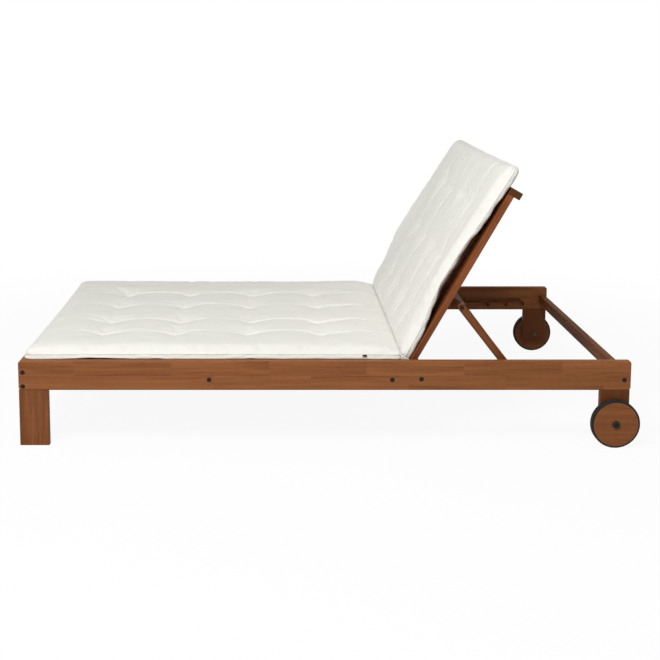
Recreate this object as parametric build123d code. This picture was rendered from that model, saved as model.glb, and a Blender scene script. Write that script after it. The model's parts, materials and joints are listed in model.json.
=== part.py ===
from build123d import *
import math
import os

# A double chaise lounger: a hardwood frame on two legs and two wheels, with a backrest that a
# propping frame holds in a notched rack. Millimetres. X runs from the foot end to the head end,
# Y across from the near side to the far side, Z up from the ground, and the origin is on the
# ground under the middle of the whole lounger. A station is a distance from the rails' foot end.

# Side rails and legs. The legs are tenoned into the rails.
frame_width = 1300.0
rail_length = 1978.0
rail_height = 96.0
rail_thickness = 25.0
rail_corner = 9.0
arris = 2.0
leg_height = 184.0
leg_width = 95.0
leg_thickness = 25.0
front_leg_station = 0.5
rear_leg_station = 1880.5
rear_leg_clearance = 58.0
leg_tenon_width = 54.0
leg_tenon_thickness = 9.0
leg_tenon_height = 20.0

# Cross rails, stub-tenoned into the side rails and drawn tight by screws from outside.
cross_rail_thickness = 24.0
slat_support_height = 258.0
stub_thickness = 12.0
stub_length = 12.0
stub_shoulder = 10.0
foot_rail = {"station": 14.0, "top": slat_support_height, "depth": 74.0, "screws": (242.0, 196.0)}
middle_rail = {"station": 616.0, "top": slat_support_height, "depth": 70.0, "screws": (218.0,)}
seat_rail = {"station": 1208.0, "top": slat_support_height, "depth": 70.0, "screws": (218.0,)}
head_rail = {"station": 1957.0, "top": 248.0, "depth": 40.0, "screws": (217.0,)}

# Slats, which run lengthwise in the seat and in the backrest.
slat_count = 10
slat_width = 108.0
slat_thickness = 20.0
slat_span = 1240.0
seat_slat_start = 4.0
seat_slat_end = 1222.0

# Backrest, measured along itself from its pivot. Its lowest angle leaves its top rail just clear of
# the head cross rail.
pivot_station = 1302.0
pivot_height = 220.0
backrest_angle = 60.5
lowest_angle = 1.0
backrest_length = 677.0
backrest_foot = -46.0
slat_back_above_pivot = 38.0
top_rail_depth = 40.0
batten_width = 24.0
batten_below_pivot = 16.0

# Propping frame, whose foot rod drops into a notch of the rack.
prop_reach = 264.0
prop_length = 310.0
prop_foot_drop = 14.5
prop_radius = 12.5
prop_thickness = 20.0
prop_outer = 616.0
rod_radius = 10.0
rod_end_radius = 7.0
rod_end_gap = 1.0
middle_batten_half_width = 595.6

# Rack, a groove in the inner face of each side rail with one notch for each backrest angle.
notch_angles = (backrest_angle, 44.5, 29.5, lowest_angle)
groove_depth = 12.0
groove_top = 234.0
groove_floor = 215.0
notch_radius = 7.5
notch_ramp = 24.0
notch_lip = 3.0
groove_lead = 30.0
groove_slope = 26.0

# Wheels.
wheel_station = 1927.0
tyre_radius = 78.0
wheel_radius = 72.0
wheel_width = 27.0
wheel_gap = 3.4
wheel_side_gap = 0.4
tyre_shoulder = 2.5
axle_radius = 5.0
running_gap = 0.05
axle_washer_radius = 13.0
axle_head_radius = 12.0
axle_head_height = 5.0
axle_head_bevel = 1.5
axle_nut_radius = 9.0
axle_nut_height = 9.0
axle_tail = 3.0

# Pivot bolts, and the recesses of bolts and screws in the side rails.
head_radius = 7.0
head_height = 3.0
recess_radius = 7.6
recess_depth = 4.0
pivot_radius = 4.0
pivot_hold = 40.0
hole_gap = 0.2
hinge_washer_radius = 10.0
hinge_washer_gap = 0.3

# Cushions: a seat pad on the slats and a back pad that slides on the backrest.
pad_half_width = 620.0
pad_draw_in = 6.0
pad_corner = 16.0
pad_roll = 34.0
pad_roll_steps = 3
pad_end_fullness = 0.35
crease_roll = 16.0
crease_fullness = 0.6
pad_crown = 0.08
pad_edge_drop = 8.0
pad_underside_inset = 26.0
pad_shoulder_inset = 34.0
pad_shoulder_slope = 0.03
seat_pad_start = 6.0
seat_pad_end = 1235.5
seat_pad_thickness = 32.0
back_pad_start = 33.0
back_pad_end = 745.0
back_pad_thickness = 40.0
back_pad_gap = 0.3
tuft_radius = 36.0
tuft_neck_radius = 13.0
tuft_stitch_radius = 2.5
tuft_gathers = 6
tuft_depth = 9.0
tuft_rows = 5
tuft_row_pitch = 223.0
seat_tuft_stations = (242.0, 490.0, 738.0, 986.0)
back_tuft_stations = (150.0, 360.0, 570.0)

# Values that follow from the driving dimensions.
cross_rails = (foot_rail, middle_rail, seat_rail, head_rail)
near, far = -1, 1
sides = (near, far)
foot_x = -(wheel_station + tyre_radius) / 2
half_width = frame_width / 2
inner_face = half_width - rail_thickness
leg_inner = half_width - leg_thickness
backrest_half_width = slat_span / 2
backrest_front = slat_back_above_pivot + slat_thickness
pivot_x = foot_x + pivot_station
wheel_inner = half_width + wheel_gap
wheel_outer = wheel_inner + wheel_width
axle_x = foot_x + wheel_station
axle_z = tyre_radius


def upright(sketch, y_low, y_high):
    """Extrude a sketch drawn in X and Z between two values of Y."""
    plane = Plane(origin=(0, y_high, 0), x_dir=(1, 0, 0), z_dir=(0, -1, 0))
    return extrude(plane * sketch, amount=y_high - y_low, dir=(0, -1, 0))


def outward(sketch, side, inner, outer):
    """Extrude a sketch drawn in X and Z between two distances from the centre plane, on one side."""
    low, high = sorted((side * inner, side * outer))
    return upright(sketch, low, high)


def pin(x, z, radius, side, inner, outer):
    """A round bar or hole along Y, between two distances from the centre plane."""
    return outward(Pos(x, z) * Circle(radius), side, inner, outer)


def ring(x, z, radius, bore, side, inner, outer):
    """A washer or wheel along Y."""
    return outward(Pos(x, z) * (Circle(radius) - Circle(bore)), side, inner, outer)


def board(x_low, x_high, y_low, y_high, z_low, z_high):
    """A plain board between two corners."""
    middle = Pos((x_low + x_high) / 2, (z_low + z_high) / 2)
    return upright(middle * Rectangle(x_high - x_low, z_high - z_low), y_low, y_high)


def eased(part, axis):
    """Break the arrises of a board that run along one axis."""
    return chamfer(part.edges().filter_by(axis), arris)


def eased_faces(part):
    """Break the arrises round the two broad faces of a piece cut from a board that stands on edge."""
    faces = part.faces().sort_by(Axis.Y)
    return chamfer(faces[0].edges() + faces[-1].edges(), arris)


def headed_bolt(x, z, side, tip, seat):
    """A plain round bolt along Y, from its tip to the seat of its flat head, and no thread."""
    head = pin(x, z, head_radius, side, seat, seat + head_height)
    return head + pin(x, z, pivot_radius, side, tip, seat)


def raised(part):
    """Turn a part drawn about the flat backrest's pivot to where the top notch holds it."""
    return Pos(pivot_x, 0, pivot_height) * Rot(0, -backrest_angle, 0) * part


def foot_station(angle):
    """Station of the prop's foot rod when the backrest stands at an angle."""
    rise = prop_reach * math.sin(math.radians(angle)) + prop_foot_drop
    run = prop_reach * math.cos(math.radians(angle))
    return pivot_station + run + math.sqrt(prop_length**2 - rise**2)


# Frame


def rack_sketch():
    """The groove, its sloping head end and its saw-toothed notches, in X and Z."""
    rod_height = pivot_height - prop_foot_drop
    notch_floor = rod_height - notch_radius
    middles = [foot_x + foot_station(angle) for angle in notch_angles]
    start = middles[0] - groove_lead
    end = middles[-1] + notch_radius
    rack = Polygon(
        (start, groove_floor),
        (end, groove_floor),
        (end - groove_slope, groove_top),
        (start, groove_top),
        align=None,
    )
    for middle in middles:
        ramp = Polygon(
            (middle - notch_ramp, groove_floor),
            (middle, notch_floor),
            (middle + notch_lip, rod_height),
            (middle + notch_lip, groove_floor),
            align=None,
        )
        rack += ramp + Pos(middle, rod_height) * Circle(notch_radius)
    return rack


def screw_places():
    """X and Z of each screw that holds a cross rail to a side rail."""
    return [(foot_x + rail["station"], height) for rail in cross_rails for height in rail["screws"]]


def stub(rail, side):
    """The tenon at one end of a cross rail."""
    low = rail["top"] - rail["depth"] + stub_shoulder
    high = rail["top"] - stub_shoulder
    middle = Pos(foot_x + rail["station"], (low + high) / 2)
    return outward(middle * Rectangle(stub_thickness, high - low), side, inner_face, inner_face + stub_length)


def leg_tenon(side, station):
    middle = Pos(foot_x + station + leg_width / 2, leg_height + leg_tenon_height / 2)
    outline = middle * Rectangle(leg_tenon_width, leg_tenon_height)
    low = half_width - (leg_thickness + leg_tenon_thickness) / 2
    return outward(outline, side, low, low + leg_tenon_thickness)


def side_rail(side):
    """A rail with its recesses, its hinge hole, its mortises and its rack."""
    middle = Pos(foot_x + rail_length / 2, leg_height + rail_height / 2)
    outline = middle * RectangleRounded(rail_length, rail_height, rail_corner)
    rail = eased_faces(outward(outline, side, inner_face, half_width))
    seat = half_width - recess_depth
    for x, z in screw_places():
        rail -= pin(x, z, recess_radius, side, seat, half_width)
    rail -= pin(pivot_x, pivot_height, recess_radius, side, seat, half_width)
    rail -= pin(pivot_x, pivot_height, pivot_radius + hole_gap, side, inner_face, seat)
    rail -= outward(rack_sketch(), side, inner_face, inner_face + groove_depth)
    for cross in cross_rails:
        rail -= stub(cross, side)
    for station in (front_leg_station, rear_leg_station):
        rail -= leg_tenon(side, station)
    return rail


def leg(side, station, foot):
    """A leg that stands under the side rail, with its foot at a given height."""
    low, high = sorted((side * leg_inner, side * half_width))
    start = foot_x + station
    post = eased(board(start, start + leg_width, low, high, foot, leg_height), Axis.Z)
    return post + leg_tenon(side, station)


def rear_leg(side):
    hole = pin(axle_x, axle_z, axle_radius + hole_gap, side, leg_inner, half_width)
    return leg(side, rear_leg_station, rear_leg_clearance) - hole


def cross_rail(rail):
    x = foot_x + rail["station"]
    reach = cross_rail_thickness / 2
    bottom = rail["top"] - rail["depth"]
    bar = eased(board(x - reach, x + reach, -inner_face, inner_face, bottom, rail["top"]), Axis.Y)
    return bar + stub(rail, near) + stub(rail, far)


def slat_edge(index):
    """The near edge of a slat, counted from the near side."""
    pitch = (slat_span - slat_width) / (slat_count - 1)
    return -slat_span / 2 + index * pitch


def seat_slat(index):
    low = slat_edge(index)
    start = foot_x + seat_slat_start
    end = foot_x + seat_slat_end
    top = slat_support_height + slat_thickness
    return eased(board(start, end, low, low + slat_width, slat_support_height, top), Axis.X)


# Backrest, drawn flat with its pivot at the origin and then raised


def back_slat(index):
    low = slat_edge(index)
    end = backrest_length - batten_width
    slat = board(backrest_foot, end, low, low + slat_width, slat_back_above_pivot, backrest_front)
    return raised(eased(slat, Axis.X))


def back_bar(start, half_length, low, high):
    """A bar across the backrest, with its arrises broken."""
    return eased(board(start, start + batten_width, -half_length, half_length, low, high), Axis.Y)


def back_top_rail():
    start = backrest_length - batten_width
    return raised(back_bar(start, backrest_half_width, backrest_front - top_rail_depth, backrest_front))


def back_batten(middle, half_length, hole_radius):
    """A batten behind the slats, deep enough to take a pivot bolt in each end."""
    start = middle - batten_width / 2
    batten = back_bar(start, half_length, -batten_below_pivot, slat_back_above_pivot)
    for side in sides:
        batten -= pin(middle, 0, hole_radius, side, half_length - pivot_hold, half_length)
    return raised(batten)


def back_hinge_batten():
    return back_batten(0, backrest_half_width, pivot_radius + running_gap)


def back_middle_batten():
    return back_batten(prop_reach, middle_batten_half_width, pivot_radius)


def hinge_bolts():
    """Bolts through the side rails, on which the backrest turns."""
    seat = half_width - recess_depth
    tip = backrest_half_width - pivot_hold + hole_gap
    return Compound(children=[headed_bolt(pivot_x, pivot_height, side, tip, seat) for side in sides])


def hinge_washers():
    """Spacers that lie on the side rails and keep the backrest central."""
    low = backrest_half_width + hinge_washer_gap
    bore = pivot_radius + hole_gap
    washers = [
        ring(pivot_x, pivot_height, hinge_washer_radius, bore, side, low, inner_face) for side in sides
    ]
    return Compound(children=washers)


# Propping frame

prop_inner = prop_outer - prop_thickness
prop_head_x = pivot_x + prop_reach * math.cos(math.radians(backrest_angle))
prop_head_z = pivot_height + prop_reach * math.sin(math.radians(backrest_angle))
prop_foot_x = foot_x + foot_station(backrest_angle)
prop_foot_z = pivot_height - prop_foot_drop


def prop_bolts():
    """Bolts into the middle batten, on which the struts turn, with heads inside the side rails."""
    seat = prop_outer + hole_gap
    tip = middle_batten_half_width - pivot_hold
    return Compound(children=[headed_bolt(prop_head_x, prop_head_z, side, tip, seat) for side in sides])


def prop_strut(side):
    """A strut with round ends, turning on its bolt and fixed on the foot rod."""
    head = Pos(prop_head_x, prop_head_z) * Circle(prop_radius)
    foot = Pos(prop_foot_x, prop_foot_z) * Circle(prop_radius)
    outline = make_hull(head.edges() + foot.edges())
    strut = eased_faces(outward(outline, side, prop_inner, prop_outer))
    strut -= pin(prop_head_x, prop_head_z, pivot_radius + running_gap, side, prop_inner, prop_outer)
    return strut - pin(prop_foot_x, prop_foot_z, rod_end_radius, side, prop_inner, prop_outer)


def prop_rod():
    """The foot rod, with shoulders between the struts and thinner ends that stop inside the rails."""
    reach = inner_face - rod_end_gap
    centre = Pos(prop_foot_x, prop_foot_z)
    return upright(centre * Circle(rod_radius), -prop_inner, prop_inner) + upright(
        centre * Circle(rod_end_radius), -reach, reach
    )


# Wheels


def wheel_disc(side):
    return ring(axle_x, axle_z, wheel_radius, axle_radius + running_gap, side, wheel_inner, wheel_outer)


def tyre(side):
    tread = pin(axle_x, axle_z, tyre_radius, side, wheel_inner, wheel_outer)
    tread = chamfer(tread.edges().filter_by(GeomType.CIRCLE), tyre_shoulder)
    return tread - pin(axle_x, axle_z, wheel_radius, side, wheel_inner, wheel_outer)


def axle_bolts():
    """Broad-headed bolts from outside the wheels, through the rear legs and their nuts."""
    bolts = []
    seat = wheel_outer + wheel_side_gap
    tip = leg_inner - axle_nut_height - axle_tail
    for side in sides:
        head = pin(axle_x, axle_z, axle_head_radius, side, seat, seat + axle_head_height)
        rims = head.edges().filter_by(GeomType.CIRCLE).sort_by(Axis.Y)
        head = chamfer(rims[0 if side == near else -1], axle_head_bevel)
        bolts.append(head + pin(axle_x, axle_z, axle_radius, side, tip, seat))
    return Compound(children=bolts)


def axle_washers():
    """Washers between the rear legs and the wheels."""
    bore = axle_radius + hole_gap
    outer = wheel_inner - wheel_side_gap
    washers = [ring(axle_x, axle_z, axle_washer_radius, bore, side, half_width, outer) for side in sides]
    return Compound(children=washers)


def axle_nuts():
    outline = Pos(axle_x, axle_z) * (RegularPolygon(axle_nut_radius, 6) - Circle(axle_radius))
    low = leg_inner - axle_nut_height
    return Compound(children=[outward(outline, side, low, leg_inner) for side in sides])


# Cushions, drawn lying flat


def pad_section(x, base, top, half, fullness):
    """A slice across a pad: flat underneath, rolled round a side seam, and crowned on top."""
    thickness = (top - base) * fullness
    low = (base + top - thickness) / 2
    crown = low + thickness
    shoulder = crown - pad_edge_drop * fullness
    seam = (low + shoulder) / 2
    flat = half - pad_underside_inset
    edge = half - pad_shoulder_inset
    lines = [
        Line((-flat, low), (flat, low)),
        TangentArc((flat, low), (half, seam), tangent=(1, 0)),
        TangentArc((edge, shoulder), (half, seam), tangent=(1, -pad_shoulder_slope)),
        ThreePointArc((edge, shoulder), (0, crown), (-edge, shoulder)),
        TangentArc((-edge, shoulder), (-half, seam), tangent=(-1, -pad_shoulder_slope)),
        TangentArc((-flat, low), (-half, seam), tangent=(-1, 0)),
    ]
    plane = Plane(origin=(x, 0, 0), x_dir=(0, 1, 0), z_dir=(1, 0, 0))
    return plane * make_face(lines)


def pad_end(length, roll, end_fullness):
    """Slices from one end of a pad to its middle: distance from the end, half width and fullness."""
    turns = [math.radians(90 * step / pad_roll_steps) for step in range(pad_roll_steps + 1)]
    distances = [roll * (1 - math.cos(turn)) for turn in turns] + [length / 4, length / 2]
    rises = [math.sin(turn) for turn in turns] + [1.0, 1.0]
    slices = []
    for distance, rise in zip(distances, rises):
        inward = 1 - (1 - 2 * distance / length) ** 2
        half = pad_half_width - pad_draw_in * inward - pad_corner * (1 - rise)
        fullness = (end_fullness + (1 - end_fullness) * rise) * (1 - pad_crown * (1 - inward))
        slices.append((distance, half, fullness))
    return slices


def pad_slices(start, end, crease_at_end):
    """Slices along a pad, with one free end that rolls over and one squarer end at the crease."""
    length = end - start
    free_end = pad_end(length, pad_roll, pad_end_fullness)
    crease = pad_end(length, crease_roll, crease_fullness)
    low, high = (free_end, crease) if crease_at_end else (crease, free_end)
    slices = [(start + distance, half, fullness) for distance, half, fullness in low]
    return slices + [(end - distance, half, fullness) for distance, half, fullness in reversed(high[:-1])]


def gathers(x, y, radius, height):
    """Corner points of one gathered ring round a tuft."""
    turns = [math.tau * step / tuft_gathers for step in range(tuft_gathers)]
    return [(x + radius * math.cos(turn), y + radius * math.sin(turn), height) for turn in turns]


def tuft(x, y, surface):
    """The gathered funnel that a sewn tuft draws into the top of a pad, steepest round its stitch."""
    above = gathers(x, y, tuft_radius, surface + tuft_depth)
    rim = gathers(x, y, tuft_radius, surface)
    neck = gathers(x, y, tuft_neck_radius, surface - tuft_depth / 2)
    stitch = gathers(x, y, tuft_stitch_radius, surface - tuft_depth)
    return [ConvexPolyhedron(above + rim + neck), ConvexPolyhedron(neck + stitch)]


def pad(start, end, base, thickness, tuft_stations, crease_at_end):
    """A crowned pad with rolled edges, sides that draw in between its corners, and sewn tufts."""
    top = base + thickness
    slices = pad_slices(start, end, crease_at_end)
    sections = [pad_section(x, base, top, half, full) for x, half, full in slices]
    body = loft(sections, ruled=True)
    for x in tuft_stations:
        for row in range(tuft_rows):
            y = (row - (tuft_rows - 1) / 2) * tuft_row_pitch
            for funnel in tuft(x, y, top - pad_edge_drop * (y / pad_half_width) ** 2):
                body -= funnel
    return body


def seat_cushion():
    base = slat_support_height + slat_thickness
    stations = [foot_x + station for station in seat_tuft_stations]
    start, end = foot_x + seat_pad_start, foot_x + seat_pad_end
    return pad(start, end, base, seat_pad_thickness, stations, True)


def back_cushion():
    base = backrest_front + back_pad_gap
    cushion = pad(back_pad_start, back_pad_end, base, back_pad_thickness, back_tuft_stations, False)
    return raised(cushion)


def build():
    """Every piece of the lounger, by the name of its node."""
    parts = {
        "foot_cross_rail": cross_rail(foot_rail),
        "middle_cross_rail": cross_rail(middle_rail),
        "seat_cross_rail": cross_rail(seat_rail),
        "head_cross_rail": cross_rail(head_rail),
        "hinge_bolts": hinge_bolts(),
        "hinge_washers": hinge_washers(),
        "back_top_rail": back_top_rail(),
        "back_hinge_batten": back_hinge_batten(),
        "back_middle_batten": back_middle_batten(),
        "prop_bolts": prop_bolts(),
        "prop_rod": prop_rod(),
        "axle_bolts": axle_bolts(),
        "axle_washers": axle_washers(),
        "axle_nuts": axle_nuts(),
        "seat_cushion": seat_cushion(),
        "back_cushion": back_cushion(),
    }
    for name, side in (("near", near), ("far", far)):
        parts["side_rail_" + name] = side_rail(side)
        parts["front_leg_" + name] = leg(side, front_leg_station, 0.0)
        parts["rear_leg_" + name] = rear_leg(side)
        parts["prop_strut_" + name] = prop_strut(side)
        parts["wheel_disc_" + name] = wheel_disc(side)
        parts["tyre_" + name] = tyre(side)
    for index in range(slat_count):
        parts[f"seat_slat_{index + 1:02d}"] = seat_slat(index)
        parts[f"back_slat_{index + 1:02d}"] = back_slat(index)
    return parts


os.makedirs("parts", exist_ok=True)
for node, shape in build().items():
    export_step(shape, f"parts/{node}.step")
print("notch stations", [round(foot_station(angle), 1) for angle in notch_angles])
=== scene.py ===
import json
import math

import bpy
import numpy as np
from bpy.props import FloatProperty, FloatVectorProperty, PointerProperty
from mathutils import Matrix, Vector, noise


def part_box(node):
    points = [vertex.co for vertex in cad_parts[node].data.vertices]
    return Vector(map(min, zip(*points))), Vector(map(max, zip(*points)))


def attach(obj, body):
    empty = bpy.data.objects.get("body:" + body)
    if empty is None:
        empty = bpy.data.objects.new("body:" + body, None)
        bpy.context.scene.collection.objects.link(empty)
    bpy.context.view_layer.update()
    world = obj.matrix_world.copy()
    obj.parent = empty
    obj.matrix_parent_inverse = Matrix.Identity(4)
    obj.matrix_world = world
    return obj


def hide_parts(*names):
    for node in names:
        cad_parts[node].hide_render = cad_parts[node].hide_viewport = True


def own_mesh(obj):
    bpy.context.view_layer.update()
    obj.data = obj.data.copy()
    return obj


bl_info = {
    "name": "Double Chaise Lounger",
    "version": (1, 0, 0),
    "blender": (4, 5, 0),
    "location": "3D View > Sidebar > Lounger",
    "description": "Dresses a hardwood lounger for two with cushions, screws, finishes and a studio",
    "category": "Object",
}

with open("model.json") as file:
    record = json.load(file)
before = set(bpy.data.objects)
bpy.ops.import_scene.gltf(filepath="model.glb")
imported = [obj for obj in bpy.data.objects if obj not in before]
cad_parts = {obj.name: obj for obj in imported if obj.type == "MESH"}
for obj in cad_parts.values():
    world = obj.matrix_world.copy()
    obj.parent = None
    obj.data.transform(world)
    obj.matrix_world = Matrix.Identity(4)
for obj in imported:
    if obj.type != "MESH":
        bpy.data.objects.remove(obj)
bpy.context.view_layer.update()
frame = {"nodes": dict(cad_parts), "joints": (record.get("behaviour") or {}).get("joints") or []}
nodes = frame["nodes"]

# Places and sizes that the frame's own solids give.
joints = {joint["name"]: joint for joint in frame["joints"]}
pivot = Vector(joints["backrest_hinge"]["pos_m"])
down = joints["pad_slide"]["axis"]
backrest_angle = math.atan2(-down[2], -down[0])
lean = Matrix.Rotation(-backrest_angle, 4, "Y")
rail_low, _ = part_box("side_rail_near")
slat_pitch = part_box("seat_slat_02")[0].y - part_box("seat_slat_01")[0].y
outer_face = -rail_low.y
sides = ((-1, "near"), (1, "far"))

# How deep the screws are sunk in the side rails, and where the rows of tufts run.
recess_depth = 0.004
tuft_rows = [-0.378, -0.189, 0.074, 0.305]

# Turns that bring a piece's grain or weave to X, and the turn and place of a piece that needs none.
zero = (0.0, 0.0, 0.0)
along_y = (0.0, 0.0, math.radians(-90.0))
upright = (0.0, math.radians(90.0), 0.0)
leaning = (0.0, backrest_angle, 0.0)
white = (1.0, 1.0, 1.0)


# Finishes, as expressions on the nodes of a material


class Field:
    """A value that changes over a surface, so that a pattern is written as a sum of others."""

    def __init__(self, finish, socket):
        self.finish = finish
        self.socket = socket

    def other(self, output):
        """Another output of the same node."""
        return Field(self.finish, self.socket.node.outputs[output])

    def __add__(self, other):
        return self.finish.math("ADD", self, other)

    def __sub__(self, other):
        return self.finish.math("SUBTRACT", self, other)

    def __rsub__(self, other):
        return self.finish.math("SUBTRACT", other, self)

    def __mul__(self, other):
        return self.finish.math("MULTIPLY", self, other)

    def __truediv__(self, other):
        return self.finish.math("DIVIDE", self, other)

    __radd__ = __add__
    __rmul__ = __mul__

    def floor(self):
        return self.finish.math("FLOOR", self)

    def sine(self):
        return self.finish.math("SINE", self)

    def size(self):
        """The value without its sign."""
        return self.finish.math("ABSOLUTE", self)

    def step(self, low, high):
        """A smooth step from 0 at low to 1 at high."""
        settings = {"interpolation_type": "SMOOTHSTEP"}
        return self.finish.node("ShaderNodeMapRange", {0: self, 1: low, 2: high}, settings)


class Finish:
    """The nodes of a material or a world, and the fields that its look is made of."""

    def __init__(self, owner):
        owner.use_nodes = True
        self.owner = owner
        self.tree = owner.node_tree
        self.tree.nodes.clear()

    def node(self, kind, inputs=None, settings=None, output=0):
        """Add a node, with its settings first and then its sockets."""
        added = self.tree.nodes.new(kind)
        for name, value in (settings or {}).items():
            setattr(added, name, value)
        for name, value in (inputs or {}).items():
            if isinstance(value, Field):
                self.tree.links.new(value.socket, added.inputs[name])
            else:
                added.inputs[name].default_value = value
        return Field(self, added.outputs[output] if added.outputs else None)

    def math(self, operation, first, second=0.0):
        return self.node("ShaderNodeMath", {0: first, 1: second}, {"operation": operation})

    def place(self, turn=zero, origin=zero):
        """Where a point is on the piece, with the piece's length turned to X."""
        point = self.node("ShaderNodeTexCoord", output="Object")
        settings = {"operation": "SUBTRACT"}
        centred = self.node("ShaderNodeVectorMath", {0: point, 1: origin}, settings)
        return self.node("ShaderNodeMapping", {"Vector": centred, "Rotation": turn})

    def facing(self, turn=zero):
        """Which way the surface faces, in the same turned directions."""
        normal = self.node("ShaderNodeTexCoord", output="Normal")
        settings = {"vector_type": "NORMAL"}
        return self.node("ShaderNodeMapping", {"Vector": normal, "Rotation": turn}, settings)

    def axes(self, vector):
        first = self.node("ShaderNodeSeparateXYZ", {0: vector})
        return first, first.other(1), first.other(2)

    def vector(self, x, y, z):
        return self.node("ShaderNodeCombineXYZ", {0: x, 1: y, 2: z})

    def noise(self, place, scale=1.0, detail=3.0, roughness=0.55):
        """Soft noise at a place, which is a vector or its three parts."""
        if isinstance(place, tuple):
            place = self.vector(*place)
        inputs = {"Vector": place, "Scale": scale, "Detail": detail, "Roughness": roughness}
        return self.node("ShaderNodeTexNoise", inputs)

    def chance(self, vector):
        """A random value for each whole-numbered cell."""
        return self.node("ShaderNodeTexWhiteNoise", {"Vector": vector})

    def mix(self, factor, first, second, blend="MIX"):
        """A colour between two, or one blended over another."""
        inputs = {0: factor, 6: opaque(first), 7: opaque(second)}
        settings = {"data_type": "RGBA", "blend_type": blend}
        return self.node("ShaderNodeMix", inputs, settings, output=2)

    def bump(self, height, distance, strength=1.0, normal=None):
        inputs = {"Height": height, "Distance": distance, "Strength": strength}
        if normal is not None:
            inputs["Normal"] = normal
        return self.node("ShaderNodeBump", inputs)

    def seen(self):
        """1 where a ray shows how a thing looks, and 0 where it only lights other things."""
        rays = self.node("ShaderNodeLightPath", output="Is Camera Ray")
        either = self.math("MAXIMUM", rays, rays.other("Is Glossy Ray"))
        return self.math("MAXIMUM", either, rays.other("Is Transmission Ray"))

    def surface(self, **inputs):
        """Finish the material with a shader that has these inputs."""
        sockets = {name.replace("_", " "): value for name, value in inputs.items()}
        shader = self.node("ShaderNodeBsdfPrincipled", sockets)
        self.node("ShaderNodeOutputMaterial", {"Surface": shader})
        return self.owner


def opaque(colour):
    """A colour with an alpha, or a field as it is."""
    return colour if isinstance(colour, Field) else (*colour, 1.0)


def dress(name, material):
    """Give a CAD node its finish."""
    mesh = nodes[name].data
    mesh.materials.clear()
    mesh.materials.append(material)


def oiled_wood(name, finish, turn=zero, origin=zero, glue=zero, depth=0.0, blush=0.0, oil=1.0, contrast=1.0):
    """Oiled hardwood with its grain along the turned X.

    It is glued up from blocks of a length, boards of a width and strips of a height. Depth
    shifts it towards the dark streaks and blush towards the red ones, and contrast is how far
    its figure shows.
    """
    block, board, strip = glue
    wood = Finish(bpy.data.materials.new(name))
    along, across, high = wood.axes(wood.place(turn, origin))
    board_index = (across / board).floor() if board else 0.0
    strip_index = (high / strip).floor() if strip else 0.0
    stagger = board_index * 0.37 + strip_index * 0.43
    block_index = (along / block + stagger).floor() if block else 0.0
    chance = wood.chance(wood.vector(block_index, board_index, strip_index))
    red, paler, _ = wood.axes(chance.other(1))
    start = along + chance * 7.0
    # How the grain wavers, its streaks, its fibres and its open pores, each finer than the last.
    flow = wood.noise((start * 0.9, across * 7.0, high * 7.0), detail=2.0)
    bend = flow * 0.05
    streak_place = (start * 1.5, (across + bend) * 50.0, (high + bend) * 50.0)
    streaks = wood.noise(streak_place, detail=4.0, roughness=0.62)
    fibres = wood.noise((start * 11.0, across * 520.0, high * 520.0), detail=2.0)
    pores = wood.noise((start * 34.0, across * 900.0, high * 900.0), detail=1.0).step(0.60, 0.74)
    # How far each of them sways the colour from the middle one.
    figure = (streaks - 0.5) * 1.7 + (flow - 0.5) * 0.5 + (fibres - 0.5) * 0.5 + (paler - 0.5) * 0.08
    shade = figure * contrast + 0.5 - depth
    colour = wood.mix(shade.step(-0.05, 1.05), finish.dark, finish.light)
    reddish = wood.mix(1.0, colour, finish.tint, "MULTIPLY")
    colour = wood.mix(red * 0.15 + blush, colour, reddish)
    colour = wood.mix(pores * 0.45, colour, finish.pore)
    end, _, _ = wood.axes(wood.facing(turn))
    end_mask = end.size().step(0.8, 0.95)
    colour = wood.mix(end_mask * 0.6, colour, finish.end_grain)
    relief = fibres * 0.5 + streaks * 0.3 - pores * 0.8
    return wood.surface(
        Base_Color=colour,
        Roughness=0.55 + (fibres - 0.5) * 0.25 + end_mask * 0.15,
        Normal=wood.bump(relief, 0.0004, 0.5),
        Specular_IOR_Level=finish.oil * oil,
    )


def canvas(name, finish, turn=zero, origin=zero):
    """Plain-woven cotton canvas, with its threads running along the cushion and across it."""
    cloth = Finish(bpy.data.materials.new(name))
    point = cloth.place(turn, origin)
    along, across, high = cloth.axes(point)
    facing_along, _, facing_high = cloth.axes(cloth.facing(turn))
    flat = facing_high.size().step(0.55, 0.75)
    end = facing_along.size().step(0.6, 0.8)
    turns = math.tau / (2.0 * finish.thread)
    warp = across * flat + high * (1.0 - flat)
    weft = along * (1.0 - end) + across * end
    threads = (warp * turns).sine() * (weft * turns).sine() * 0.5 + 0.5
    slub = cloth.noise((along * 30.0, across * 420.0, high * 420.0), detail=2.0)
    slub_across = cloth.noise((along * 420.0, across * 30.0, high * 200.0), detail=2.0)
    mottle = cloth.noise(point, 5.0)
    shade = threads * 0.35 + slub * 0.35 + slub_across * 0.3 + (mottle - 0.5) * 0.7
    colour = cloth.mix(shade.step(0.05, 0.95), finish.shade, finish.colour)
    rumple = cloth.noise(point, 34.0, 3.0, 0.6)
    soft = cloth.bump(rumple, 0.0012, 0.4)
    relief = threads * 0.7 + slub * 0.3 + slub_across * 0.3
    return cloth.surface(
        Base_Color=colour,
        Roughness=0.86 + (slub - 0.5) * 0.15,
        Normal=cloth.bump(relief, 0.0003, 0.5, soft),
        Sheen_Weight=0.25,
        Sheen_Roughness=0.6,
        Specular_IOR_Level=0.25,
    )


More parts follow.
